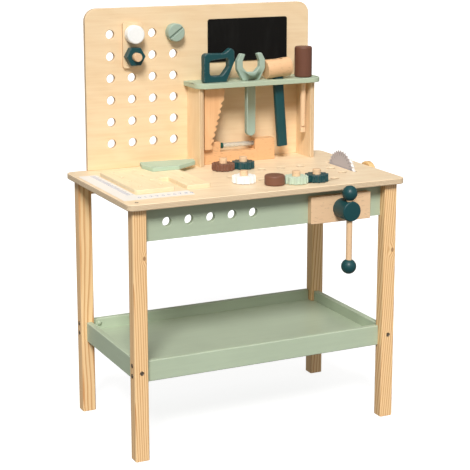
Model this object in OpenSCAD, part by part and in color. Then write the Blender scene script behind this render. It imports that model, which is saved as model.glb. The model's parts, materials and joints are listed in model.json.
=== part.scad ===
// Toy workbench: perforated top and back board, tool rack, vise, gears, saw disc, tool tray.
// Millimetres, +Z up, front towards -Y. Bench coordinates have x = 0 on the centre line of
// the top and z = 0 on the floor; bench() moves them so the overall box is centred.

/* [Table] */
// width of the top, X
top_w = 590; // [500:5:700]
// front edge of the top, Y
top_front = -85.5; // [-100:0.5:-60]
// rear edge of the top, Y
top_back = 263.5; // [240:0.5:290]
// thickness of the top
top_t = 12; // [9:1:18]
// height of the working surface
table_h = 500; // [400:10:600]
// corner radius of the top, seen from above
top_r = 14; // [8:1:60]
// leg size along X
leg_w = 28; // [20:1:40]
// leg size along Y
leg_d = 26; // [20:1:40]
// distance of the outer leg faces from the centre line
leg_x = 283; // [240:1:290]
// front face of the front legs, Y
leg_front = -73; // [-80:1:-40]
// rear face of the rear legs, Y
leg_back = 246.5; // [200:0.5:260]
// radius on the long leg edges
leg_r = 3; // [1:0.5:6]
// front face of the apron, Y
apron_front = -56; // [-60:1:-40]
// apron height
apron_h = 66; // [40:1:90]
// thickness of the apron
apron_t = 12; // [8:1:18]

/* [Tray] */
// bottom of the tray rims
rim_z = 151; // [80:1:250]
// height of the tray rims
rim_h = 41; // [25:1:60]
// thickness of the tray rims
rim_t = 12; // [8:1:18]
// thickness of the tray floor
floor_t = 6; // [3:1:12]

/* [Holes] */
// diameter of every play hole
hole_d = 18; // [14:0.5:22]
// play hole pitch along X
pitch_x = 45.3; // [40:0.1:50]
// play hole pitch along Y
pitch_y = 47.3; // [40:0.1:50]

/* [Back board] */
// half width of the back board
back_x = 253.8; // [220:0.1:270]
// middle of the back board, X
back_mid = 3.4; // [-10:0.1:10]
// thickness of the back board
back_t = 10; // [6:1:15]
// height of the back board above the top
back_h = 328; // [250:1:400]
// radius of the two upper corners
back_r = 25; // [5:1:50]
// underside of the rack shelf above the top
shelf_h = 163; // [120:1:220]
// thickness of the rack shelf
shelf_t = 10; // [6:1:15]
// depth of the rack shelf
shelf_d = 77.5; // [60:0.5:90]

/* [Play pieces] */
// outer radius of the toothed wheels
gear_r = 23.5; // [20:0.1:24]
// root radius of the toothed wheels
gear_root = 20.5; // [17:0.1:21.5]
// thickness of the toothed wheels
gear_t = 14; // [8:1:20]
// teeth on each toothed wheel
gear_n = 12; // [8:2:18]
// radius of the saw disc
disc_r = 55; // [40:1:60]
// thickness of the saw disc
disc_t = 6; // [3:1:8]

/* [Vise] */
// radius of the vise grip
grip_r = 19.5; // [15:0.5:25]
// radius of the balls on the vise bar
ball_r = 15; // [10:0.5:18]

/* [Hidden] */
$fn = 96;
e = 0.01;
run = 0.06;                        // radial clearance of a running fit
hr = hole_d / 2;
top_z = table_h;
under = table_h - top_t;
top_mid = (top_front + top_back) / 2;
leg_in = leg_x - leg_w;            // inner leg face
leg_f2 = leg_front + leg_d;        // rear face of the front legs
leg_b1 = leg_back - leg_d;         // front face of the rear legs
back_y = top_back - back_t;        // front face of the back board
shelf_z = top_z + shelf_h;
shelf_top = shelf_z + shelf_t;
shelf_y = back_y - shelf_d;
fr_x = 240;                        // plane of the saw disc
fr_y = 72.5;
fr_z = top_z - 20;
wheel_x0 = 297;                    // hand wheel of the saw
wheel_x1 = 309;
wheel_r = 26;
bolt_r = 8.5;
nut_back = 12;                     // thickness of the nuts behind the back board
peg_r = 8;
vise_x = 156.5;
vise_z = 450;
jaw_t = 14;
grip_len = 43;
jaw_front = apron_front - jaw_t;
grip_front = jaw_front - grip_len;
bar_y = grip_front + 11;
bar_r = 6;
ball_hi = vise_z + grip_r + ball_r + 0.3;
ball_lo = ball_hi - 146;
grid_x = -15;                      // first play hole of the top
grid_y = -26;
cx = (wheel_x1 - top_w / 2) / 2;
cy = (bar_y - ball_r + top_back + nut_back) / 2;

// columns and rows of the back board's play holes
back_cols = [-197, -151, -105, -59];
back_row0 = 52;
back_row_step = 44.6;
strip_x = -151;
screw_z = top_z + back_row0 + 5 * back_row_step;
nut_z = top_z + back_row0 + 4 * back_row_step;

// toothed wheels: x, y, turned by half a tooth or not
mesh = 45.5;
g_brown = [2, 144, 0];
g_petrol = [2 + mesh, 144, 1];
g_white = [-17, 9.5, 0];
g_sage = [73, -38, 0];
g_second = [73 + mesh, -38, 1];
cap_at = [29, -32];

// ---------- helpers ----------

module bench() translate([-cx, -cy, 0]) children();

// box from two corners
module box(a, b) translate(a) cube([b[0] - a[0], b[1] - a[1], b[2] - a[2]]);

// rectangle with four rounded corners, from two corners
module rrect(x0, y0, x1, y1, r) {
    translate([x0 + r, y0]) square([x1 - x0 - 2 * r, y1 - y0]);
    translate([x0, y0 + r]) square([x1 - x0, y1 - y0 - 2 * r]);
    for (x = [x0 + r, x1 - r], y = [y0 + r, y1 - r]) translate([x, y]) circle(r);
}

// drawing in X and Z pushed towards the back, from y0 to y1
module upright(y0, y1) translate([0, y1, 0]) rotate([90, 0, 0]) linear_extrude(y1 - y0) children();

// rods along the three axes
module rod_x(x0, x1, r) translate([x0, 0, 0]) rotate([0, 90, 0]) cylinder(h = x1 - x0, r = r);
module rod_y(y0, y1, r) translate([0, y1, 0]) rotate([90, 0, 0]) cylinder(h = y1 - y0, r = r);
module rod_z(z0, z1, r) translate([0, 0, z0]) cylinder(h = z1 - z0, r = r);

// turned piece with rounded rims, standing on z = 0
module turned(h, r, round) rotate_extrude() {
    square([r - round, h]);
    translate([0, round]) square([r, h - 2 * round]);
    for (z = [round, h - round]) translate([r - round, z]) circle(round);
}

// the same piece lying along Y, from y0 to y1
module turned_y(y0, y1, r, round) translate([0, y1, 0]) rotate([90, 0, 0]) turned(y1 - y0, r, round);

// rounded corner: points of an arc of radius r that joins the edges a-b and b-c
function unit(v) = v / norm(v);
function arc_pts(a, b, c, r, n) =
    let (u = unit(a - b), w = unit(c - b), half = acos(u * w) / 2, m = unit(u + w),
         o = b + m * (r / sin(half)), p = b + u * (r / tan(half)), q = b + w * (r / tan(half)),
         s = atan2(p[1] - o[1], p[0] - o[0]), t = atan2(q[1] - o[1], q[0] - o[0]),
         d = (t - s > 180) ? t - s - 360 : (t - s < -180) ? t - s + 360 : t - s)
    [for (i = [0:n]) o + r * [cos(s + d * i / n), sin(s + d * i / n)]];

// polygon with rounded corners: list of [x, y, radius]
function round_pts(p, n = 6) = let (k = len(p))
    [for (i = [0:k - 1]) let (a = p[(i + k - 1) % k], b = p[i], c = p[(i + 1) % k])
        each arc_pts([a[0], a[1]], [b[0], b[1]], [c[0], c[1]], b[2], n)];

// six-sided nut drawing, flats f apart
module hexagon(f) circle(r = f / sqrt(3), $fn = 6);

// screw head: a disc with a six-sided socket in it, top face at z = h
module screw_top(r, h) difference() {
    cylinder(h = h, r = r);
    translate([0, 0, h - 0.8]) cylinder(h = 1, r = r * 0.5, $fn = 6);
}

// ---------- table ----------

module top_holes() {
    spots = [[0, 2], [1, 1], [2, 3], [3, 3], [4, 0], [4, 3], [5, 1], [5, 2]];
    for (s = spots) translate([grid_x + s[0] * pitch_x, grid_y + s[1] * pitch_y]) circle(hr);
    for (g = [g_brown, g_petrol, g_white, g_sage, g_second, cap_at]) translate([g[0], g[1]]) circle(hr);
}

module tabletop() color([0.93, 0.80, 0.62]) bench() translate([0, 0, under]) linear_extrude(top_t)
    difference() {
        rrect(-top_w / 2, top_front, top_w / 2, top_back, top_r);
        top_holes();
        translate([fr_x - 4.5, fr_y - 58.5]) square([9, 117]);
    }

module leg(x, y) color([0.93, 0.78, 0.55]) bench() linear_extrude(under)
    rrect(x, y, x + leg_w, y + leg_d, leg_r);
module leg_front_left() leg(-leg_x, leg_front);
module leg_front_right() leg(leg_in, leg_front);
module leg_rear_left() leg(-leg_x, leg_b1);
module leg_rear_right() leg(leg_in, leg_b1);

guide_x = [vise_x - 45, vise_x + 45];

module front_apron() color([0.60, 0.72, 0.62]) bench() difference() {
    box([-leg_in, apron_front, under - apron_h], [leg_in, apron_front + apron_t, under]);
    for (i = [0:4]) translate([-208 + i * 44.8, 0, 455.5])
        rod_y(apron_front - 1, apron_front + apron_t + 1, hr);
    translate([vise_x, 0, vise_z]) rod_y(apron_front - 1, apron_front + apron_t + 1, 10);
    for (x = guide_x) translate([x, 0, vise_z])
        rod_y(apron_front - 1, apron_front + apron_t + 1, bar_r + run);
}

module rear_rail() color([0.93, 0.78, 0.55]) bench()
    box([-leg_in, leg_b1 + 6, under - 30], [leg_in, leg_b1 + 18, under]);

module top_screws() color([0.75, 0.72, 0.66]) bench() translate([-272, -66, top_z]) screw_top(3.5, 0.6);

// ---------- tray ----------

tray_x = leg_x - 11;               // outer faces of the side rims
rim_front = leg_front + 14.5;      // front face of the front rim
rim_rear = leg_back - rim_t;       // front face of the rear rim

module tray_floor() color([0.60, 0.72, 0.62]) bench() difference() {
    box([-tray_x + rim_t, rim_front + rim_t, rim_z + 13], [tray_x - rim_t, rim_rear, rim_z + 13 + floor_t]);
    for (x = [-leg_x, leg_in], y = [leg_front, leg_b1])
        box([x - 1, y - 1, 0], [x + leg_w + 1, y + leg_d + 1, under]);
}

module tray_rim_front() color([0.60, 0.72, 0.62]) bench()
    box([-leg_in, rim_front, rim_z], [leg_in, rim_front + rim_t, rim_z + rim_h]);
module tray_rim_rear() color([0.60, 0.72, 0.62]) bench()
    box([-leg_in, rim_rear, rim_z], [leg_in, rim_rear + rim_t, rim_z + rim_h]);
module tray_rims_side() color([0.60, 0.72, 0.62]) bench()
    for (x = [-tray_x, tray_x - rim_t])
        box([x, leg_f2, rim_z], [x + rim_t, leg_b1, rim_z + rim_h]);

module frame_screws() color([0.75, 0.72, 0.66]) bench() {
    for (x = [-leg_x + 14, leg_x - 14]) translate([x, leg_front, rim_z + 24])
        rotate([90, 0, 0]) screw_top(4, 1);
    for (s = [-1, 1], y = [leg_front + 13, leg_b1 + 13], z = [17, 37])
        translate([s * leg_x, y, rim_z + z]) rotate([0, s * 90, 0]) screw_top(4, 1);
}

// ---------- back board and rack ----------

module back_board() color([0.93, 0.80, 0.62]) bench() difference() {
    upright(back_y, top_back) difference() {
        translate([back_mid, top_z]) {
            translate([-back_x, 0]) square([2 * back_x, back_h - back_r]);
            translate([-back_x + back_r, 0]) square([2 * (back_x - back_r), back_h]);
            for (s = [-1, 1]) translate([s * (back_x - back_r), back_h - back_r]) circle(back_r);
        }
        for (x = back_cols, i = [0:5]) translate([x, top_z + back_row0 + i * back_row_step]) circle(hr);
    }
}

module chalkboard() color([0.16, 0.17, 0.17]) bench()
    upright(back_y - 2.5, back_y) rrect(18.5, 708.5, 204, 798, 5);

saw_y = shelf_y + 27;              // middle plane of the hanging tools
hammer_tilt = 4.5;
hammer_x = 155.5;
driver_x = 218;

module rack_shelf() color([0.60, 0.72, 0.62]) bench() difference() {
    translate([0, 0, shelf_z]) linear_extrude(shelf_t) difference() {
        union() {
            rrect(-37, shelf_y, 253, back_y, 25);
            translate([-37, back_y - 30]) square([290, 30]);
        }
        translate([-16, saw_y - 5]) square([57, 10]);
        translate([79, saw_y - 8]) square([27, 16]);
        translate([driver_x, saw_y]) circle(8);
    }
    hammer_place() box([-13, -9, -60], [13, 9, 20]);
}

module rack_sides() color([0.93, 0.80, 0.62]) bench()
    for (x = [-29, 230]) box([x, 190, top_z], [x + 9, back_y, shelf_z]);

module strip() color([0.93, 0.80, 0.62]) bench() upright(back_y - 7, back_y) difference() {
    rrect(strip_x - 21, 706, strip_x + 21, 799, 5);
    for (z = [nut_z, screw_z]) translate([strip_x, z]) circle(hr);
}

module slotted(y0, y1, r, tilt) difference() {
    turned_y(y0, y1, r, 2.5);
    translate([0, y0, 0]) rotate([0, -tilt, 0]) box([-r - 1, -1, -2.2], [r + 1, 4, 2.2]);
}

module white_screw() color([0.93, 0.93, 0.90]) bench() translate([strip_x, 0, screw_z]) {
    turned_y(back_y - 27, back_y - 7, 18.7, 3);
    rod_y(back_y - 7 - e, top_back + nut_back, hr - 0.08);
}
module white_screw_nut() color([0.93, 0.93, 0.90]) bench()
    translate([strip_x, 0, screw_z]) upright(top_back, top_back + nut_back) difference() {
        hexagon(32);
        circle(hr - 0.08);
    }
module sage_screw() color([0.60, 0.72, 0.62]) bench() translate([back_cols[3], 0, screw_z]) {
    slotted(back_y - 19, back_y, 18.5, 37);
    rod_y(back_y - e, top_back + nut_back, hr - 0.08);
}
module sage_screw_nut() color([0.60, 0.72, 0.62]) bench()
    translate([back_cols[3], 0, screw_z]) upright(top_back, top_back + nut_back) difference() {
        hexagon(32);
        circle(hr - 0.08);
    }
module hex_nut() color([0.13, 0.36, 0.37]) bench()
    translate([strip_x, 0, nut_z]) upright(back_y - 25, back_y - 7) difference() {
        hexagon(36);
        circle(bolt_r + run);
    }
module nut_bolt() color([0.93, 0.80, 0.62]) bench() translate([strip_x, 0, nut_z]) {
    rod_y(back_y - 37, top_back + e, bolt_r);
    turned_y(top_back, top_back + nut_back, 17, 2);
}

// ---------- hanging tools ----------

module handsaw_handle() color([0.13, 0.36, 0.37]) bench() difference() {
    upright(saw_y - 8, saw_y + 8) difference() {
        polygon(round_pts([[-16, shelf_top, 4], [35, shelf_top, 4], [53, 714, 10], [53, 736, 5],
            [45, 743, 4], [31, 732, 10], [-16, 733.5, 8]]));
        polygon(round_pts([[-3, 686.5, 7], [25, 686.5, 8], [39.5, 704, 8], [39.5, 722, 4], [-3, 718, 5]]));
    }
    box([-13, saw_y - 3, 0], [34, saw_y + 3, shelf_top + 8]);
}
module handsaw_blade() color([0.93, 0.80, 0.62]) bench() upright(saw_y - 3, saw_y + 3) difference() {
    polygon([[-13, shelf_top + 8], [-13, 533], [3, 533], [5, 540], [31, 636], [34, shelf_top],
        [34, shelf_top + 8]]);
    for (i = [0:7]) translate([5 + 3.25 * i, 540 + 12 * i])
        polygon([[0.9, -0.3], [4.15, 11.7], [-4, 4.3]]);
}

module wrench() color([0.60, 0.72, 0.62]) bench() upright(saw_y - 6, saw_y + 6)
    translate([92.5, 0]) {
        polygon(round_pts([[-19, shelf_top, 2], [-32.5, 697, 16], [-32.5, 715, 10], [-24, 730, 4],
            [-13.5, 728, 2], [-19.5, 713, 6], [-19.5, 701, 6], [-9, 690, 6], [9, 690, 6], [19.5, 701, 6],
            [19.5, 713, 6], [13.5, 728, 2], [24, 730, 4], [32.5, 715, 10], [32.5, 697, 16],
            [19, shelf_top, 2]]));
        translate([-10, 566]) square([20, 110]);
        translate([0, 566]) circle(10);
    }

module hammer_place() translate([hammer_x, saw_y, shelf_top + 22.4]) rotate([0, -hammer_tilt, 0])
    children();

module hammer_head() color([0.90, 0.74, 0.52]) bench() hammer_place() difference() {
    rotate([0, 90, 0]) translate([0, 0, -28.5]) turned(57, 19.8, 2);
    box([-11, -7, -30], [11, 7, 30]);
}
module hammer_handle() color([0.13, 0.36, 0.37]) bench() hammer_place()
    translate([0, 0, -167]) linear_extrude(182) rrect(-11, -7, 11, 7, 5);

module screwdriver_handle() color([0.50, 0.25, 0.15]) bench()
    translate([driver_x, saw_y, shelf_top]) difference() {
        turned(65, 18.5, 4);
        rod_z(-1, 30, 6);
    }
module screwdriver_shaft() color([0.93, 0.80, 0.62]) bench() translate([driver_x, saw_y, 0]) {
    rod_z(568, shelf_top + 30, 6);
    intersection() {
        rod_z(554, 568 + e, 6);
        box([-7, -2, 550], [7, 2, 570]);
    }
}

level_y = saw_y + 7.5;
module level_block() color([0.93, 0.80, 0.62]) bench() difference() {
    box([-17, level_y, top_z], [155, level_y + 22, top_z + 46]);
    box([28, level_y - 1, top_z + 24], [108, level_y + 23, top_z + 47]);
    translate([0, level_y + 11, top_z + 36]) rod_x(20, 116, 5);
}
module level_tube() color([0.85, 0.92, 0.90]) bench()
    translate([0, level_y + 11, top_z + 36]) rod_x(20, 116, 5);
module level_bead() color([0.10, 0.28, 0.22]) bench() translate([0, level_y + 11, top_z + 36])
    difference() {
        rod_x(29, 37, 6.2);
        rod_x(28, 38, 5);
    }

// ---------- loose board, plate and ruler ----------

module hole_board() color([0.95, 0.85, 0.66]) bench() translate([0, 0, top_z])
    linear_extrude(8) difference() {
        polygon(round_pts([[-247, 0, 12], [-168, 0, 2], [-168, 92, 4], [-142, 92, 4], [-142, 0, 2],
            [-92, 0, 4], [-92, 194, 3], [-247, 194, 3]]));
        for (x = [-225, -182], y = [33, 81, 129, 177]) translate([x, y]) circle(4);
        for (y = [30, 78]) translate([-118, y]) circle(4);
    }

module sage_plate() color([0.60, 0.72, 0.62]) bench() translate([0, 0, top_z + 8]) linear_extrude(8)
    polygon(round_pts([[-157, 192, 3], [-150, 151, 3], [-93, 151, 6], [-42, 184, 8], [-35, 210, 3],
        [-150, 222, 3]]));

module ruler() color([0.96, 0.96, 0.95]) bench() translate([0, 0, top_z]) linear_extrude(0.6)
    polygon(round_pts([[-288, -45, 3], [-145, -45, 3], [-145, -8, 3], [-250, -8, 1], [-250, 205, 3],
        [-288, 205, 3]]));

// ---------- toothed wheels on pegs ----------

module wheel(g, c) color(c) bench() translate([g[0], g[1], top_z + 1]) linear_extrude(gear_t)
    difference() {
        union() {
            circle(gear_root);
            intersection() {
                circle(gear_r);
                for (i = [0:gear_n - 1]) rotate((i + g[2] / 2) * 360 / gear_n)
                    polygon([[15, -2.9], [gear_r + 1, -1.7], [gear_r + 1, 1.7], [15, 2.9]]);
            }
        }
        circle(peg_r + run);
    }
module gear_brown() wheel(g_brown, [0.50, 0.25, 0.15]);
module gear_petrol() wheel(g_petrol, [0.13, 0.36, 0.37]);
module gear_white() wheel(g_white, [0.94, 0.94, 0.92]);
module gear_sage() wheel(g_sage, [0.72, 0.84, 0.74]);
module gear_second() wheel(g_second, [0.13, 0.36, 0.37]);

// dowel with a thin collar under the wheel and a plug for the play hole
module peg(g) color([0.90, 0.74, 0.52]) bench() translate([g[0], g[1], top_z]) {
    translate([0, 0, -11]) turned(11 + e, hr - run, 1);
    rod_z(0, 1, 12);
    turned(gear_t + 11, peg_r, 1);
}
module peg_brown() peg(g_brown);
module peg_petrol() peg(g_petrol);
module peg_white() peg(g_white);
module peg_sage() peg(g_sage);
module peg_second() peg(g_second);

module brown_cap() color([0.50, 0.25, 0.15]) bench() translate([cap_at[0], cap_at[1], top_z]) {
    turned(20, 20, 4);
    translate([0, 0, -11]) turned(12, hr - run, 1);
}

// ---------- vise ----------

module vise_jaw() color([0.90, 0.74, 0.52]) bench() difference() {
    upright(jaw_front, apron_front) rrect(vise_x - 67, 422, vise_x + 67, 476, 2);
    translate([vise_x, 0, vise_z]) rod_y(jaw_front - 1, apron_front + 1, 9 + run);
    for (x = guide_x) translate([x, 0, vise_z]) rod_y(jaw_front + 3, apron_front + 1, bar_r);
}
module vise_guides() color([0.90, 0.74, 0.52]) bench()
    for (x = guide_x) translate([x, 0, vise_z]) turned_y(jaw_front + 3, 34, bar_r, 1);

// spindle with rings cut in it, from the grip to behind the nut block
module vise_spindle() color([0.90, 0.74, 0.52]) bench() translate([vise_x, 0, vise_z]) difference() {
    rod_y(jaw_front - 8, 40, 9);
    for (i = [0:14]) translate([0, -40 + i * 5, 0]) difference() {
        rod_y(0, 2.4, 10);
        rod_y(-1, 3, 7.6);
    }
}
module vise_grip() color([0.13, 0.36, 0.37]) bench() translate([vise_x, 0, vise_z]) difference() {
    turned_y(grip_front, jaw_front, grip_r, 2.5);
    rod_y(jaw_front - 8, jaw_front + 1, 9);
    translate([0, bar_y, 0]) rod_z(-30, 30, bar_r + run);
}
module vise_nut() color([0.90, 0.74, 0.52]) bench() difference() {
    box([vise_x - 26, apron_front + apron_t, vise_z - 22],
        [vise_x + 26, apron_front + apron_t + 26, vise_z + 22]);
    translate([vise_x, 0, vise_z]) rod_y(apron_front, apron_front + apron_t + 30, 9 + run);
}
module vise_bar() color([0.90, 0.74, 0.52]) bench() translate([vise_x, bar_y, 0])
    rod_z(ball_lo + 4, ball_hi - 4, bar_r);
module vise_balls() color([0.13, 0.36, 0.37]) bench() difference() {
    for (z = [ball_lo, ball_hi]) translate([vise_x, bar_y, z]) sphere(ball_r);
    translate([vise_x, bar_y, 0]) rod_z(ball_lo + 4, ball_hi - 4, bar_r);
}

// ---------- saw disc with its axle and hand wheel ----------

axle_r = 5;
module saw_disc() color([0.55, 0.57, 0.58]) bench() translate([fr_x - disc_t / 2, fr_y, fr_z])
    rotate([0, 90, 0]) linear_extrude(disc_t) difference() {
        union() {
            circle(disc_r - 4);
            for (i = [0:35]) rotate(i * 10)
                polygon([[disc_r - 6, -4.6], [disc_r, 0], [disc_r - 6, 4.6]]);
        }
        circle(axle_r);
    }
module saw_axle() color([0.90, 0.74, 0.52]) bench() translate([0, fr_y, fr_z])
    rod_x(fr_x - 20, wheel_x1 - 2, axle_r);
module saw_wheel() color([0.93, 0.76, 0.48]) bench() translate([wheel_x0, fr_y, fr_z])
    rotate([0, 90, 0]) difference() {
        turned(wheel_x1 - wheel_x0, wheel_r, 2.5);
        rod_z(-1, wheel_x1 - wheel_x0 - 2, axle_r);
    }
module saw_brackets() color([0.90, 0.74, 0.52]) bench() difference() {
    for (x = [fr_x - 17, fr_x + 7]) box([x, fr_y - 16, fr_z - 14], [x + 10, fr_y + 16, under]);
    translate([0, fr_y, fr_z]) rod_x(200, 280, axle_r + run);
}

// ---------- nodes ----------

tabletop();
leg_front_left();
leg_front_right();
leg_rear_left();
leg_rear_right();
front_apron();
rear_rail();
tray_floor();
tray_rim_front();
tray_rim_rear();
tray_rims_side();
back_board();
chalkboard();
rack_shelf();
rack_sides();
ruler();
top_screws();
frame_screws();
strip();
nut_bolt();
vise_nut();
saw_brackets();
hole_board();
sage_plate();
white_screw();
white_screw_nut();
sage_screw();
sage_screw_nut();
hex_nut();
handsaw_handle();
handsaw_blade();
wrench();
hammer_head();
hammer_handle();
screwdriver_handle();
screwdriver_shaft();
level_block();
level_tube();
level_bead();
gear_brown();
gear_petrol();
gear_white();
gear_sage();
gear_second();
peg_brown();
peg_petrol();
peg_white();
peg_sage();
peg_second();
brown_cap();
vise_jaw();
vise_guides();
vise_spindle();
vise_grip();
vise_bar();
vise_balls();
saw_disc();
saw_axle();
saw_wheel();
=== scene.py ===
# %% [markdown]
# # A toy workbench
#
# A small child's workbench is built from a few kinds of wood: pine legs, birch plywood for the
# flat boards, beech for the turned and sawn play pieces, and painted wood in sage green, petrol
# blue, brown and white. The exact sizes and the places of all joints come from the CAD frame.
# This lesson gives every piece soft edges, a real finish, and the small fittings that the plain
# solids leave out. The first cell loads the frame.

# %% Load the frame
import json
import math

import bpy
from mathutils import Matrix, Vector


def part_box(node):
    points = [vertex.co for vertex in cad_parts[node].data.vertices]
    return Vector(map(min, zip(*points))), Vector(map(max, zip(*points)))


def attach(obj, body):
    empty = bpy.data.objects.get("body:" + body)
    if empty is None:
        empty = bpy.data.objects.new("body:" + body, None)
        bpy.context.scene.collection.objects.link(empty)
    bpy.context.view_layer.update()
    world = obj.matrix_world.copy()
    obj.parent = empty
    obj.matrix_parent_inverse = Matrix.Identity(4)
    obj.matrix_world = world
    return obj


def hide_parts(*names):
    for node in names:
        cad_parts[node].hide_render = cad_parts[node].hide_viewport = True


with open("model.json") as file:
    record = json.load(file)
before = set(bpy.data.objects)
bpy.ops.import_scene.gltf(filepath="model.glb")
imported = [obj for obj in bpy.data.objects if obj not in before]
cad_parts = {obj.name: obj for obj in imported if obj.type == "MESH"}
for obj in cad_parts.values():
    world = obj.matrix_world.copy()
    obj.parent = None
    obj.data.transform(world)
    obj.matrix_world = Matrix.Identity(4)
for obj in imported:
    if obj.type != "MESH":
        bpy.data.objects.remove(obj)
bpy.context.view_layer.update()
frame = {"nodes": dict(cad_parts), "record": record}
scene = bpy.context.scene
body_of_node = {node: body for body, nodes in frame["record"]["behaviour"]["bodies"].items()
                for node in nodes}

# %% [markdown]
# ## Shader sums as plain expressions
#
# A wood finish is mostly arithmetic: rings are a distance, plies are a remainder. Written as
# node calls this becomes unreadable, so a socket is wrapped in a small class whose + - * /
# add the Math nodes. A second class holds one material and makes every other node.

# %% A wrapped socket
class Amount:
    """One number that changes over a surface."""

    def __init__(self, finish, socket):
        self.finish, self.socket = finish, socket

    def sum(self, operation, first, second=None):
        values = [first] if second is None else [first, second]
        return self.finish.node("ShaderNodeMath", {"operation": operation}, *values)

    def __add__(self, other): return self.sum("ADD", self, other)
    def __radd__(self, other): return self.sum("ADD", other, self)
    def __sub__(self, other): return self.sum("SUBTRACT", self, other)
    def __rsub__(self, other): return self.sum("SUBTRACT", other, self)
    def __mul__(self, other): return self.sum("MULTIPLY", self, other)
    def __rmul__(self, other): return self.sum("MULTIPLY", other, self)
    def __truediv__(self, other): return self.sum("DIVIDE", self, other)
    def __pow__(self, other): return self.sum("POWER", self, other)
    def __abs__(self): return self.sum("ABSOLUTE", self)
    def wrapped(self, size): return self.sum("FLOORED_MODULO", self, size)
    def above(self, limit): return self.sum("GREATER_THAN", self, limit)

    def step(self, low, high):
        """0 below low, 1 above high, and a smooth rise between; high may be the lower one."""
        return self.finish.node("ShaderNodeMapRange", {"interpolation_type": "SMOOTHSTEP"},
                                Value=self, From_Min=low, From_Max=high)


# %% One class for a whole finish
class Finish:
    """A material under construction, with the nodes that most finishes start from."""

    def __init__(self, name):
        self.material = bpy.data.materials.new(name)
        self.material.use_nodes = True
        self.tree = self.material.node_tree
        self.shader = self.tree.nodes["Principled BSDF"]
        self.place = self.node("ShaderNodeTexCoord", out="Object")

    def node(self, kind, settings=None, *values, out=0, **named):
        made = self.tree.nodes.new(kind)
        for key, value in (settings or {}).items():
            setattr(made, key, value)
        pairs = list(zip(made.inputs, values))
        pairs += [(made.inputs[key.replace("_", " ")], value) for key, value in named.items()]
        for socket, value in pairs:
            if isinstance(value, Amount):
                self.tree.links.new(value.socket, socket)
            else:
                socket.default_value = value
        return Amount(self, made.outputs[out])

    def mapped(self, at=(0, 0, 0), turn=(0, 0, 0), scale=(1, 1, 1)):
        """The object's own coordinates, moved, turned and stretched."""
        return self.node("ShaderNodeMapping", {"vector_type": "POINT"}, self.place,
                         Location=at, Rotation=turn, Scale=scale)

    def parts(self, vector=None):
        """X, Y and Z as three amounts."""
        split = self.tree.nodes.new("ShaderNodeSeparateXYZ")
        self.tree.links.new((vector or self.place).socket, split.inputs[0])
        return [Amount(self, out) for out in split.outputs]

    def facing(self):
        """X, Y and Z of the surface's direction, in the piece's own axes."""
        return self.parts(self.node("ShaderNodeTexCoord", out="Normal"))

    def noise(self, vector, scale, detail=2.0, rough=0.5, distortion=0.0):
        return self.node("ShaderNodeTexNoise", {}, vector, Scale=scale, Detail=detail,
                         Roughness=rough, Distortion=distortion)

    def mix(self, factor, first, second):
        """Blend of two colours."""
        made = self.tree.nodes.new("ShaderNodeMix")
        made.data_type = "RGBA"
        for slot, value in ((0, factor), (6, first), (7, second)):
            if isinstance(value, Amount):
                self.tree.links.new(value.socket, made.inputs[slot])
            else:
                made.inputs[slot].default_value = (*value, 1.0) if slot else value
        return Amount(self, made.outputs[2])

    def attribute(self, name):
        made = self.tree.nodes.new("ShaderNodeAttribute")
        made.attribute_name = name
        return Amount(self, made.outputs["Fac"])

    def done(self, colour, rough, height=None, depth=0.0002, **fixed):
        """Join colour, roughness and relief to the shader; fixed holds plain numbers."""
        self.tree.links.new(colour.socket, self.shader.inputs["Base Color"])
        if isinstance(rough, Amount):
            self.tree.links.new(rough.socket, self.shader.inputs["Roughness"])
        else:
            self.shader.inputs["Roughness"].default_value = rough
        if height is not None:
            bump = self.node("ShaderNodeBump", {}, Strength=1.0, Distance=depth, Height=height)
            self.tree.links.new(bump.socket, self.shader.inputs["Normal"])
        for key, value in fixed.items():
            self.shader.inputs[key.replace("_", " ")].default_value = value
        return self.material


# %% [markdown]
# ## Grain
#
# All wood shares one thing: its fibres are long and thin, so every pattern is noise squeezed
# across the grain and drawn out along it. Three sizes are enough: broad clouds of tone, streaks
# a few millimetres wide, and fine dark pores. Each board gets its own shift, or two boards
# would show the same figure.

# %% Three sizes of grain
AXES = {"x": 0, "y": 1, "z": 2}


def grain(finish, along, shift, draw=0.05):
    """Clouds, streaks and pores that run along one axis."""
    scale = [1.0, 1.0, 1.0]
    scale[AXES[along]] = draw
    drawn = finish.mapped(at=(shift, shift * 0.7, shift * 1.3), scale=scale)
    clouds = finish.noise(finish.mapped(at=(shift, 0, shift)), 9.0, 3.0)
    streaks = finish.noise(drawn, 160.0, 4.0, 0.6, 0.4)
    pores = finish.noise(drawn, 1300.0, 2.0, 0.7)
    return clouds, streaks, pores


# %% [markdown]
# ## Birch plywood
#
# The faces are a quiet, pale veneer with faint wavy figure and short flecks. The edges show
# the thin plies: light and darker layers by turns, with a fine brown glue line between them.
# The surface's own direction tells a face from an edge, so one finish serves a board with all
# its holes and rounded corners.

# %% Plywood
BIRCH_LIGHT, BIRCH_DARK = (0.90, 0.695, 0.45), (0.82, 0.59, 0.345)
PLY_LIGHT, PLY_DARK, GLUE = (0.80, 0.57, 0.34), (0.60, 0.38, 0.20), (0.38, 0.21, 0.10)


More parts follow.
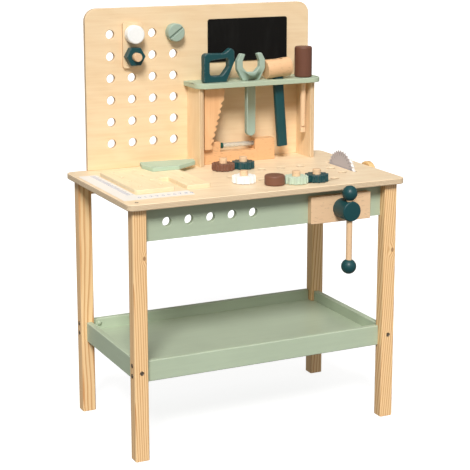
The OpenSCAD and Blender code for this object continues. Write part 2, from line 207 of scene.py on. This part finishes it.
def plywood(name, through, ends, along, shift, plies=7, light=BIRCH_LIGHT, dark=BIRCH_DARK,
            core=1.0):
    """through is the axis across the plies and ends its two limits; along is the face grain.
    core says how strongly the plies show on the edges."""
    finish = Finish(name)
    clouds, streaks, pores = grain(finish, along, shift)
    wave = finish.node("ShaderNodeTexWave", {"wave_type": "BANDS", "bands_direction": "DIAGONAL"},
                       finish.mapped(at=(shift, shift, 0),
                                     scale=[0.35 if a == along else 1.0 for a in "xyz"]),
                       Scale=16.0, Distortion=9.0, Detail=3.0, Detail_Scale=1.2)
    figure = wave * 0.12 + streaks * 0.62 + clouds * 0.28
    face = finish.mix(figure.step(0.25, 0.85), light, dark)
    fleck = pores.step(0.62, 0.76) * streaks.step(0.42, 0.62)
    face = finish.mix(fleck * 0.40, face, tuple(c * 0.66 for c in dark))

    depth = (finish.parts()[AXES[through]] - ends[0]) * (plies / (ends[1] - ends[0]))
    layer = depth.wrapped(2.0).above(1.0)
    line = abs(depth.wrapped(1.0) - 0.5).step(0.41, 0.47)
    pale_ply = tuple(c * 0.94 for c in light)
    edge = finish.mix((layer * 0.75 + streaks * 0.25) * core, pale_ply, PLY_DARK)
    edge = finish.mix(line * (0.7 * core), edge, GLUE)

    is_edge = abs(finish.facing()[AXES[through]]).step(0.85, 0.60)
    colour = finish.mix(is_edge, face, edge)
    rough = 0.42 + streaks * 0.12 + is_edge * 0.22
    relief = streaks * 0.35 + pores * 0.5 - fleck * 0.6 - is_edge * line * 1.5
    return finish.done(colour, rough, relief, 0.00012, Coat_Weight=0.12, Coat_Roughness=0.25)


print("plywood finish ready")

# %% [markdown]
# ## Pine
#
# Pine shows its years: broad pale spring wood between narrow orange lines. A leg is a square
# stick cut out of a round trunk, so the rings are real circles round a pith that lies outside
# the stick. If the pith leans a little, the rings run out of the faces and draw the long pointed
# arches that a sawn pine stick has. A knot is a dark oval that the rings bend round.

# %% Pine with real rings
PINE_LIGHT, PINE_DARK = (1.0, 0.71, 0.38), (0.64, 0.30, 0.11)


def pine(name, pith, lean, along="z", gap=0.0044, knots=()):
    """pith is a point on the tree's middle line, lean how far that line drifts per metre."""
    finish = Finish(name)
    clouds, streaks, pores = grain(finish, along, pith[0] * 7 + pith[1] * 3, 0.03)
    order = [AXES[a] for a in "xyz" if a != along]
    place = finish.parts()
    run = place[AXES[along]]
    drawn = finish.mapped(scale=[0.25 if a == along else 1.0 for a in "xyz"])
    wobble = finish.noise(drawn, 14.0, 2.0)
    a = place[order[0]] - pith[0] + run * lean[0] + wobble * 0.010
    b = place[order[1]] - pith[1] + run * lean[1] + wobble * 0.006
    radius = (a * a + b * b) ** 0.5
    knot_dark = None
    for height, side, size in knots:
        rise = (run - height) / (size * 1.5)
        across = (place[order[0]] - side) / size
        near = (rise * rise + across * across) ** 0.5
        radius = radius + near.step(2.6, 0.6) * size * 0.9
        dark_spot = near.step(0.75, 0.45)
        knot_dark = dark_spot if knot_dark is None else knot_dark + dark_spot
    year = (radius / gap).wrapped(1.0)
    late = year.step(0.45, 0.93) * year.step(1.0, 0.95)
    tone = late * (0.50 + streaks * 0.50) + clouds * 0.16 + streaks * 0.14
    colour = finish.mix(tone, PINE_LIGHT, PINE_DARK)
    if knot_dark is not None:
        colour = finish.mix(knot_dark * 0.75, colour, (0.30, 0.13, 0.05))
    colour = finish.mix(pores.step(0.62, 0.80) * 0.16, colour, (0.45, 0.24, 0.10))
    rough = 0.46 - late * 0.10 + streaks * 0.10
    relief = late * 0.5 + pores * 0.35
    return finish.done(colour, rough, relief, 0.00012, Coat_Weight=0.12, Coat_Roughness=0.25)


print("pine finish ready")

# %% [markdown]
# ## Beech
#
# Turned dowels, the vise jaw and the sawn play tools are beech: even, warm, with countless
# short brown dashes along the grain. End grain is darker, because it drinks more lacquer.

# %% Beech
BEECH_LIGHT, BEECH_DARK = (0.92, 0.66, 0.42), (0.76, 0.49, 0.28)


def beech(name, along, shift, light=BEECH_LIGHT, dark=BEECH_DARK):
    finish = Finish(name)
    clouds, streaks, pores = grain(finish, along, shift, 0.045)
    dashes_scale = [0.18 if a == along else 1.0 for a in "xyz"]
    dashes = finish.noise(finish.mapped(at=(shift, 2, 3), scale=dashes_scale), 620.0, 1.0, 0.4)
    dash = dashes.step(0.62, 0.72)
    ends = abs(finish.facing()[AXES[along]]).step(0.75, 0.95)
    colour = finish.mix(streaks * 0.55 + clouds * 0.45, light, dark)
    colour = finish.mix(dash * 0.38, colour, tuple(c * 0.55 for c in dark))
    colour = finish.mix(ends * (0.35 + dash * 0.2), colour, tuple(c * 0.72 for c in dark))
    rough = 0.44 + streaks * 0.12 + ends * 0.18
    return finish.done(colour, rough, pores * 0.5 - dash * 0.6, 0.00010,
                       Coat_Weight=0.10, Coat_Roughness=0.25)


print("beech finish ready")

# %% [markdown]
# ## Paint on wood
#
# Play paint is sprayed thin. Up close it has a fine orange peel, the wood's streaks still
# print through a little, the tone wanders slightly, and handled edges are rubbed paler. The
# rounded edges of each piece carry a number named "edge", which tells the paint where it is
# rubbed.

# %% Paint
def paint(name, colour, along, shift, rub=0.35, rough=0.46, sheen=0.10):
    finish = Finish(name)
    clouds, streaks, pores = grain(finish, along, shift, 0.06)
    peel = finish.noise(finish.place, 900.0, 2.0, 0.5)
    scuffs = finish.noise(finish.mapped(at=(shift, 1, 2)), 130.0, 5.0, 0.7)
    pale = tuple(min(1.0, c * 0.7 + 0.22) for c in colour)
    deep = tuple(c * 0.93 for c in colour)
    tone = finish.mix((clouds * 0.6 + streaks * 0.4).step(0.35, 0.65), colour, deep)
    rubbed = finish.attribute("edge") * scuffs.step(0.42, 0.62)
    tone = finish.mix(rubbed * rub, tone, pale)
    dust = scuffs.step(0.66, 0.80) * clouds.step(0.45, 0.60)
    tone = finish.mix(dust * 0.10, tone, pale)
    gloss = rough + peel * 0.08 + streaks * 0.06 - rubbed * 0.08
    relief = peel * 0.30 + streaks * 0.45 + pores * 0.10
    finish.shader.inputs["Specular IOR Level"].default_value = 0.35
    return finish.done(tone, gloss, relief, 0.00010, Coat_Weight=sheen, Coat_Roughness=0.30)


SAGE = (0.47, 0.555, 0.41)
GREY_SAGE = (0.37, 0.475, 0.39)
PALE_SAGE = (0.455, 0.595, 0.46)
PETROL = (0.005, 0.061, 0.069)
# The two browns below are one paint in two copies: the lighter is painted light for the lit tops of
# the brown wheel and cap, the darker is painted shade for the front of the screwdriver handle.
LIT_BROWN = (0.205, 0.088, 0.052)
SHADED_BROWN = (0.155, 0.062, 0.037)
WHITE = (0.92, 0.93, 0.92)
print("paint finish ready")

# %% [markdown]
# ## Soft edges
#
# No wooden toy leaves the workshop with a sharp edge: every corner is sanded round. Each CAD
# solid arrives as loose triangles, so a copy is welded, its flat faces are made whole again,
# and a narrow bevel rounds every real edge. The new strip of faces is marked with the number
# "edge" for the paint, and the copy then stands for the CAD solid.

# %% Round the edges of a copy
def only(piece):
    bpy.ops.object.select_all(action="DESELECT")
    piece.select_set(True)
    bpy.context.view_layer.objects.active = piece


def apply_all(piece):
    only(piece)
    for modifier in list(piece.modifiers):
        bpy.ops.object.modifier_apply(modifier=modifier.name)


def welded(node):
    """A welded copy of one CAD solid, with whole flat faces."""
    mesh = frame["nodes"][node].data.copy()
    piece = bpy.data.objects.new(node + "_piece", mesh)
    scene.collection.objects.link(piece)
    mesh.materials.clear()
    only(piece)
    bpy.ops.object.mode_set(mode="EDIT")
    bpy.ops.mesh.select_all(action="SELECT")
    bpy.ops.mesh.remove_doubles(threshold=0.000004)
    bpy.ops.mesh.customdata_custom_splitnormals_clear()
    bpy.ops.mesh.dissolve_limited(angle_limit=math.radians(0.5))
    bpy.ops.object.mode_set(mode="OBJECT")
    return piece


def ease(piece, width, segments=2, limit=32):
    """Round every edge sharper than limit degrees and mark the new faces."""
    mesh = piece.data
    for polygon in mesh.polygons:
        polygon.use_smooth = True
        polygon.material_index = 0
    bevel = piece.modifiers.new("soft edge", "BEVEL")
    bevel.width = width / 1000
    bevel.segments = segments
    bevel.limit_method = "ANGLE"
    bevel.angle_limit = math.radians(limit)
    bevel.use_clamp_overlap = False
    bevel.harden_normals = True
    bevel.material = 1
    apply_all(piece)
    edge = piece.data.attributes.new("edge", "FLOAT", "FACE")
    edge.data.foreach_set("value", [float(p.material_index == 1) for p in piece.data.polygons])
    for polygon in piece.data.polygons:
        polygon.material_index = 0


def dress(node, material, width=0.8, segments=2):
    """A soft-edged, finished piece in place of one CAD solid."""
    piece = welded(node)
    for _ in range(2):
        piece.data.materials.append(material)
    ease(piece, width, segments)
    piece.data.materials.pop(index=1)
    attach(piece, body_of_node[node])
    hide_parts(node)
    return piece


def span(node, axis):
    low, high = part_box(node)
    return low[AXES[axis]], high[AXES[axis]]


print("edge tools ready")

# %% [markdown]
# ## The frame of the bench
#
# The top is a thick plywood board that stands on pine legs. The rear legs are the same stick as
# the front ones, but cut from other places in the tree, so each leg has its own pith and lean.
# The apron between the front legs is painted; the rail at the back is plain.

# %% Top, legs, apron and rail
# The top's two colours are paler than the birch of the other boards. The paleness is painted sheen,
# standing in for the glossy reflection the top gives at a low angle.
top_plywood_with_painted_sheen = plywood("top plywood paled by painted sheen", "z", span("tabletop", "z"), "x", 1.7, 9,
                      (0.93, 0.76, 0.53), (0.82, 0.61, 0.39), core=0.6)
dress("tabletop", top_plywood_with_painted_sheen, 2.0, 3)

LEGS = {
    "leg_front_left": ((-0.330, -0.165), (0.020, 0.012), ((0.395, -0.268, 0.0045),)),
    "leg_front_right": ((0.315, -0.175), (-0.055, 0.040), ((0.352, 0.268, 0.005),)),
    "leg_rear_left": ((-0.235, 0.190), (0.030, -0.020), ()),
    "leg_rear_right": ((0.225, 0.200), (-0.025, 0.030), ()),
}
for node, (pith, lean, knots) in LEGS.items():
    dress(node, pine(node + " pine", pith, lean, knots=knots), 0.8, 2)

sage_x = paint("sage paint lengthways", SAGE, "x", 0.4)
dress("front_apron", sage_x, 1.0)
dress("rear_rail", pine("rail pine", (0.20, 0.55), (0.03, 0.02), along="x"), 1.0)
print("bench frame dressed")

# %% [markdown]
# ## The tray
#
# Four rims and a thin panel, all painted before assembly. The rims have well rounded upper
# edges, which catch the light, so they get a wider bevel than the floor.

# %% Tray
sage_y = paint("sage paint crossways", SAGE, "y", 2.3)
for node in ("tray_rim_front", "tray_rim_rear"):
    dress(node, sage_x, 2.0, 3)
tray_lacquer = paint("sage lacquer of the tray", SAGE, "x", 4.4, rough=0.30, sheen=0.4)
dress("tray_floor", tray_lacquer, 0.5)
dress("tray_rims_side", sage_y, 2.0, 3)
PLUG_RADIUS, PLUG_DEPTH = 0.0045, 0.0012
bpy.ops.mesh.primitive_cylinder_add(vertices=48, radius=PLUG_RADIUS, depth=PLUG_DEPTH)
plug = bpy.context.object
plug.name = "tray_plug"
for polygon in plug.data.polygons:
    polygon.select = polygon.normal.z > 0.9
bpy.ops.object.mode_set(mode="EDIT")
for step in (0.0003, 0.0002, 0.0001):
    bpy.ops.mesh.inset(thickness=0.0011, depth=step)
bpy.ops.object.mode_set(mode="OBJECT")
rim_low, rim_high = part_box("tray_rim_rear")
plug.rotation_euler = (math.pi / 2, 0, 0)
plug.location = (rim_low.x + 0.016, rim_low.y, rim_high.z - 0.010)
only(plug)
bpy.ops.object.transform_apply(location=True, rotation=True, scale=True)
bpy.ops.object.shade_smooth()
plug.data.materials.append(sage_x)
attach(plug, "bench")
print("tray dressed")

# %% [markdown]
# ## Back board, chalkboard and tool rack
#
# The perforated back board and the rack's sides are plywood with the grain upright or across,
# as cut from the sheet. The chalkboard is a thin matte panel: real chalk paint is never
# pure black, because old dust stays in its pores.

# %% Back board and rack
board_plywood = plywood("back board plywood", "y", span("back_board", "y"), "x", 4.1)
dress("back_board", board_plywood, 1.2, 3)


def chalk_paint():
    finish = Finish("chalk paint")
    wipes = finish.noise(finish.mapped(turn=(0, 0.5, 0), scale=(1, 1, 0.25)), 28.0, 5.0, 0.65)
    grit = finish.noise(finish.place, 1800.0, 2.0, 0.6)
    dust = wipes.step(0.48, 0.78) * 0.012 + grit.step(0.60, 0.85) * 0.01
    finish.shader.inputs["Specular IOR Level"].default_value = 0.15
    colour = finish.mix(dust, (0.005, 0.0045, 0.004), (0.50, 0.50, 0.48))
    return finish.done(colour, 0.82 + wipes * 0.1, grit * 0.6, 0.00010)


dress("chalkboard", chalk_paint(), 0.5)
dress("rack_shelf", sage_x, 1.2, 3)
side_plywood = plywood("rack side plywood", "x", (-0.036, -0.027), "z", 6.4, plies=5)
dress("rack_sides", side_plywood, 0.8)
dress("strip", plywood("strip plywood", "y", span("strip", "y"), "z", 7.2, plies=5), 0.8)
print("back board dressed")

# %% [markdown]
# ## Play screws and nuts on the back board
#
# Fat wooden screws with painted heads, and a six-sided nut on the bare end of a bolt.

# %% Screws and nuts
petrol_y = paint("petrol paint on turned wood", PETROL, "y", 3.1, rub=0.25, rough=0.40, sheen=0.2)
white_y = paint("white paint on turned wood", WHITE, "y", 3.7, rub=0.1)
sage_turned = paint("sage paint on turned wood", GREY_SAGE, "y", 5.3)
for node in ("white_screw", "white_screw_nut"):
    dress(node, white_y, 0.8)
for node in ("sage_screw", "sage_screw_nut"):
    dress(node, sage_turned, 0.7)
dress("hex_nut", petrol_y, 1.6, 3)
beech_y = beech("beech lying crossways", "y", 2.9)
dress("nut_bolt", beech_y, 0.8)
print("play screws dressed")

# %% [markdown]
# ## Hanging tools
#
# The tools are sawn from sheet or turned, and drop through openings in the shelf. The saw's
# blade and the level are a warmer beech than the dowels, and darker: the darkening is painted
# shade from the shelf they hang under.

# %% Tools
petrol_z = paint("petrol paint on sawn wood", PETROL, "z", 8.3, rub=0.30, rough=0.42, sheen=0.2)
sage_z = paint("sage paint on sawn wood", GREY_SAGE, "z", 9.1)
# The wheel and cap take the lighter copy of the brown paint: painted light on their tops.
brown_z = paint("brown paint", LIT_BROWN, "z", 1.9, rub=0.25)
# These warm beech colours are darkened by painted shade from the shelf above the saw blade and the
# level; the saw axle uses them too.
SHADED_WARM_LIGHT, SHADED_WARM_DARK = (0.88, 0.53, 0.27), (0.75, 0.40, 0.185)
beech_x = beech("beech lying lengthways", "x", 1.1, SHADED_WARM_LIGHT, SHADED_WARM_DARK)
beech_z = beech("beech standing", "z", 4.6)
dress("handsaw_handle", petrol_z, 2.0, 3)
dress("handsaw_blade", plywood("saw blade plywood", "y", span("handsaw_blade", "y"), "z", 5.5, 5,
                               SHADED_WARM_LIGHT, SHADED_WARM_DARK), 0.5)
dress("wrench", sage_z, 1.6, 3)
dress("hammer_head", beech("hammer beech", "x", 6.6, (0.86, 0.56, 0.32), (0.72, 0.42, 0.21)),
      0.6)
dress("hammer_handle", petrol_z, 1.0)
# The screwdriver handle takes the darker copy of the brown paint: painted shade on its front.
dress("screwdriver_handle", paint("shaded brown paint", SHADED_BROWN, "z", 2.7, rub=0.25),
      0.8)
dress("screwdriver_shaft", beech_z, 0.6)
dress("level_block", beech_x, 1.0)
print("tools dressed")

# %% [markdown]
# ## The level's vial
#
# A clear plastic tube with a dark green ring at one end. Plastic this thin looks clear where
# one looks through it and white where the lamp glints, so it is smooth and mostly lets light
# through.

# %% Vial
def clear_plastic():
    finish = Finish("clear plastic")
    haze = finish.noise(finish.mapped(scale=(0.3, 1, 1)), 90.0, 3.0)
    colour = finish.mix(haze, (0.93, 0.96, 0.94), (0.86, 0.92, 0.88))
    return finish.done(colour, 0.05 + haze * 0.08, Transmission_Weight=0.75, IOR=1.46)


def bead_plastic():
    finish = Finish("dark green plastic")
    cloud = finish.noise(finish.place, 160.0, 3.0)
    colour = finish.mix(cloud, (0.010, 0.060, 0.045), (0.02, 0.09, 0.065))
    return finish.done(colour, 0.18 + cloud * 0.1, cloud, 0.00004)


dress("level_tube", clear_plastic(), 0.5)
dress("level_bead", bead_plastic(), 0.3)
print("vial dressed")

# %% [markdown]
# ## Toothed wheels, pegs and the cap
#
# The wheels are cut from board and painted all round, the pegs stay bare.

# %% Wheels
wheel_paints = {
    "gear_brown": (brown_z, "brown_paint"),
    "gear_petrol": (petrol_z, "petrol_paint"),
    "gear_white": (paint("white paint", WHITE, "x", 6.1, rub=0.1), "white_paint"),
    "gear_sage": (paint("pale sage paint", (0.56, 0.68, 0.54), "x", 7.7), "sage_paint"),
    "gear_second": (petrol_z, "petrol_paint"),
    "brown_cap": (brown_z, "brown_paint"),
}
for node, (material, slot) in wheel_paints.items():
    dress(node, material, 0.8)
for node in ("peg_brown", "peg_petrol", "peg_white", "peg_sage", "peg_second"):
    dress(node, beech_z, 0.4)
print("wheels dressed")

# %% [markdown]
# ## Vise
#
# A thick jaw, a petrol grip, and a bar that slides through it between two balls.

# %% Vise
dress("vise_jaw", beech("jaw beech", "x", 8.8), 1.2, 3)
for node in ("vise_guides", "vise_spindle", "vise_nut"):
    dress(node, beech_y, 0.4)
dress("vise_grip", petrol_y, 1.0)
dress("vise_bar", beech_z, 0.5)
dress("vise_balls", petrol_y, 0.5)
print("vise dressed")

# %% [markdown]
# ## Saw disc
#
# The disc is plywood: its rim stays white, while both faces are printed grey with a darker
# tooth pattern near the rim. The pattern is polar, so the finish works out the angle round the
# axle and the distance from it.

# %% Saw disc, axle and wheel
TEETH = 36


def disc_print():
    low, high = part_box("saw_disc")
    middle = (low + high) / 2
    finish = Finish("disc print")
    x, y, z = finish.parts()
    dy, dz = y - middle.y, z - middle.z
    radius = (dy * dy + dz * dz) ** 0.5
    angle = dy.sum("ARCTAN2", dy, dz) * (TEETH / (2 * math.pi))
    tooth = angle.wrapped(1.0)
    ring = radius.step(0.0415, 0.0425)
    stroke = abs(tooth - 0.5 + (radius - 0.048) * 40).step(0.20, 0.10) * ring
    cloud = finish.noise(finish.place, 60.0, 4.0)
    speck = finish.noise(finish.place, 900.0, 2.0)
    face = finish.mix(cloud, (0.54, 0.52, 0.56), (0.46, 0.44, 0.48))
    face = finish.mix(stroke * 0.55, face, (0.22, 0.21, 0.24))
    side = abs(finish.facing()[0]).step(0.7, 0.5)
    colour = finish.mix(side, face, (0.82, 0.81, 0.80))
    return finish.done(colour, 0.42 + speck * 0.1, speck, 0.00008)


dress("saw_disc", disc_print(), 0.4)
dress("saw_axle", beech_x, 0.4)
wheel_beech = beech("wheel beech", "z", 3.3, (0.88, 0.62, 0.30), (0.72, 0.44, 0.18))
dress("saw_wheel", wheel_beech, 0.8)
dress("saw_brackets", beech_y, 0.8)
print("saw disc dressed")

# %% [markdown]
# ## Loose boards and the ruler
#
# A pale board with play holes lies on the left, with a small sage plate on it. Beside it a
# thin white angle ruler is printed with blue-grey strokes and figures. Strokes and figures
# are very thin raised pieces, because a print is a shape too, and the figures are plain digits.

# %% Boards
dress("hole_board", plywood("loose board plywood", "z", span("hole_board", "z"), "y", 9.9, 3,
                            (0.95, 0.80, 0.54), (0.87, 0.69, 0.43), core=0.12), 0.7)
dress("sage_plate", paint("pale sage plate paint", PALE_SAGE, "x", 2.6), 0.8)


def print_white():
    finish = Finish("white print")
    cloud = finish.noise(finish.place, 25.0, 4.0)
    grit = finish.noise(finish.place, 700.0, 2.0)
    colour = finish.mix(cloud * 0.5 + grit * 0.3, (0.90, 0.87, 0.82), (0.82, 0.79, 0.74))
    return finish.done(colour, 0.5 + grit * 0.1, grit, 0.00005)


def print_ink():
    finish = Finish("blue grey ink")
    wear = finish.noise(finish.place, 500.0, 3.0)
    colour = finish.mix(wear.step(0.40, 0.70), (0.30, 0.31, 0.44), (0.55, 0.56, 0.64))
    return finish.done(colour, 0.5 + wear * 0.1, wear, 0.00003)


dress("ruler", print_white(), 0.2, 1)
print("boards dressed")

# %% Strokes and figures
STROKES, STROKE_PITCH, STROKE_WIDTH = 61, 0.0033, 0.0009
SHORT, LONG = 0.009, 0.014
FIGURE_SIZE, FIGURE_PITCH = 0.0135, 0.0118
ink = print_ink()
ruler_low, ruler_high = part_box("ruler")
INK_THICK = 0.00015


def finished(piece, material, body):
    """Apply the place of a new piece and hand it to the frame."""
    only(piece)
    bpy.ops.object.transform_apply(location=True, rotation=True, scale=True)
    piece.data.materials.clear()
    piece.data.materials.append(material)
    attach(piece, body)


def joined(pieces, name):
    bpy.ops.object.select_all(action="DESELECT")
    for piece in pieces:
        piece.select_set(True)
    bpy.context.view_layer.objects.active = pieces[0]
    bpy.ops.object.join()
    pieces[0].name = name
    return pieces[0]


strokes = []
for i in range(STROKES):
    y = ruler_low.y + 0.044 + i * STROKE_PITCH
    length = LONG if i % 5 == 0 else SHORT
    bpy.ops.mesh.primitive_cube_add(size=1, location=(ruler_low.x + 0.022 + length / 2, y,
                                                      ruler_high.z + INK_THICK / 2),
                                    scale=(length, STROKE_WIDTH, INK_THICK))
    strokes.append(bpy.context.object)
for i in range(10):
    bpy.ops.object.text_add(location=(ruler_low.x + 0.033 + i * FIGURE_PITCH,
                                      ruler_low.y + 0.011, ruler_high.z))
    figure = bpy.context.object
    figure.data.body = str(i)
    figure.data.size = FIGURE_SIZE
    figure.data.extrude = INK_THICK / 2
    only(figure)
    bpy.ops.object.convert(target="MESH")
    figure.location.z += INK_THICK / 2
    strokes.append(figure)
finished(joined(strokes, "ruler_marks"), ink, "bench")
print("ruler has", len(strokes), "marks")

# %% [markdown]
# ## Bolts
#
# The legs are held with sunk barrel screws: a bronze ring with a deep six-sided socket. One is
# modelled from a cylinder by insetting and pushing in its face, then copied to each place with
# its own mesh.

# %% One bolt
def bronze():
    finish = Finish("dark bronze")
    cloud = finish.noise(finish.place, 400.0, 4.0)
    scratch = finish.noise(finish.mapped(scale=(1, 0.1, 1)), 2500.0, 2.0)
    colour = finish.mix(cloud, (0.19, 0.15, 0.11), (0.30, 0.25, 0.19))
    return finish.done(colour, 0.28 + scratch * 0.2, scratch, 0.00002, Metallic=0.9)


bolt_metal = bronze()


def bolt(place, turn, radius, name):
    """A bolt head that looks along +Z before it is turned."""
    bpy.ops.mesh.primitive_cylinder_add(vertices=48, radius=radius, depth=0.0010)
    piece = bpy.context.object
    bpy.ops.object.mode_set(mode="EDIT")
    bpy.ops.mesh.select_all(action="DESELECT")
    bpy.ops.object.mode_set(mode="OBJECT")
    for polygon in piece.data.polygons:
        polygon.select = polygon.normal.z > 0.9
    bpy.ops.object.mode_set(mode="EDIT")
    bpy.ops.mesh.inset(thickness=radius * 0.12, depth=0)
    bpy.ops.mesh.inset(thickness=radius * 0.10, depth=-0.00035)
    bpy.ops.mesh.inset(thickness=radius * 0.22, depth=0.0001)
    bpy.ops.mesh.inset(thickness=radius * 0.08, depth=-0.0004)
    bpy.ops.object.mode_set(mode="OBJECT")
    bpy.ops.object.shade_smooth_by_angle(angle=math.radians(30))
    piece.name = name
    piece.rotation_euler = turn
    piece.location = place
    finished(piece, bolt_metal, "bench")
    return piece


# %% Bolts in their places
LEG_BOLT, TOP_BOLT, PROUD = 0.0040, 0.0034, 0.0005
SIDE_HEIGHTS, FACE_HEIGHT = (0.168, 0.188), 0.175
for s in (-1, 1):
    side = "left" if s < 0 else "right"
    for depth in ("front", "rear"):
        low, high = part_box(f"leg_{depth}_{side}")
        middle = (low + high) / 2
        x = low.x if s < 0 else high.x
        for i, z in enumerate(SIDE_HEIGHTS):
            bolt((x + s * PROUD, middle.y, z), (0, s * math.pi / 2, 0), LEG_BOLT,
                             f"bolt_{depth}_{side}_{i}")
        if depth == "front":
            bolt((middle.x, low.y - PROUD, FACE_HEIGHT), (math.pi / 2, 0, 0), LEG_BOLT,
                             f"bolt_face_{side}")
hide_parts("frame_screws")
low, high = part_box("top_screws")
middle = (low + high) / 2
top_bolt = bolt((middle.x, middle.y, low.z), (0, 0, 0), TOP_BOLT, "bolt_top")
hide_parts("top_screws")

# %% [markdown]
# ## Camera, floor and light
#
# The camera stands far off to the left and a little above the top, with a long lens that is
# shifted slightly down, so the legs stay close to parallel. The floor is plain and white. It
# takes no part in lighting the bench, because a white floor would brighten every underside. A
# broad soft lamp from the upper left does most of the work, and an even pale sky fills in.

# %% Camera
yaw, pitch = -0.4514, -0.2
ahead = Vector((-math.sin(yaw) * math.cos(pitch), math.cos(yaw) * math.cos(pitch), math.sin(pitch)))
camera = bpy.data.objects.new("camera", bpy.data.cameras.new("camera"))
scene.collection.objects.link(camera)
camera.rotation_euler = ahead.to_track_quat("-Z", "Y").to_euler()
camera.location = (-1.181, -2.4166, 1.0389)
camera.data.sensor_width = 36
camera.data.lens = 104.98
camera.data.shift_y = -0.12
camera.data.clip_end = 200
scene.camera = camera

# %% Floor, sky and lamps
def floor_finish():
    finish = Finish("pale floor")
    cloud = finish.noise(finish.place, 0.4, 2.0)
    colour = finish.mix(cloud, (0.34, 0.34, 0.34), (0.36, 0.36, 0.36))
    return finish.done(colour, 0.9, Emission_Color=(1, 1, 1, 1), Emission_Strength=0.85)


bpy.ops.object.select_all(action="DESELECT")
bpy.ops.mesh.primitive_plane_add(size=120, location=(0, 0, 0))
floor = bpy.context.object
floor.name = "floor"
floor.data.materials.append(floor_finish())
floor.visible_diffuse = False
floor.visible_glossy = False

world = bpy.data.worlds.new("sky")
scene.world = world
world.use_nodes = True
world.node_tree.nodes["Background"].inputs["Color"].default_value = (1.0, 0.985, 0.96, 1)
world.node_tree.nodes["Background"].inputs["Strength"].default_value = 0.24


def lamp(name, strength, place, angle, colour=(1, 1, 1)):
    light = bpy.data.lights.new(name, "SUN")
    light.energy = strength
    light.angle = math.radians(angle)
    light.color = colour
    lamp_object = bpy.data.objects.new(name, light)
    scene.collection.objects.link(lamp_object)
    lamp_object.rotation_euler = Vector(place).to_track_quat("Z", "Y").to_euler()
    return lamp_object


lamp("key", 3.45, (-0.42, -0.80, 0.82), 18, (1.0, 0.985, 0.96))
lamp("overhead", 0.35, (0.0, 0.1, 1.0), 50)
lamp("fill", 0.25, (0.8, -0.9, 0.5), 60)
scene.view_settings.view_transform = "Standard"

# %% [markdown]
# ## Finish
#

# %% The end
print("the end")
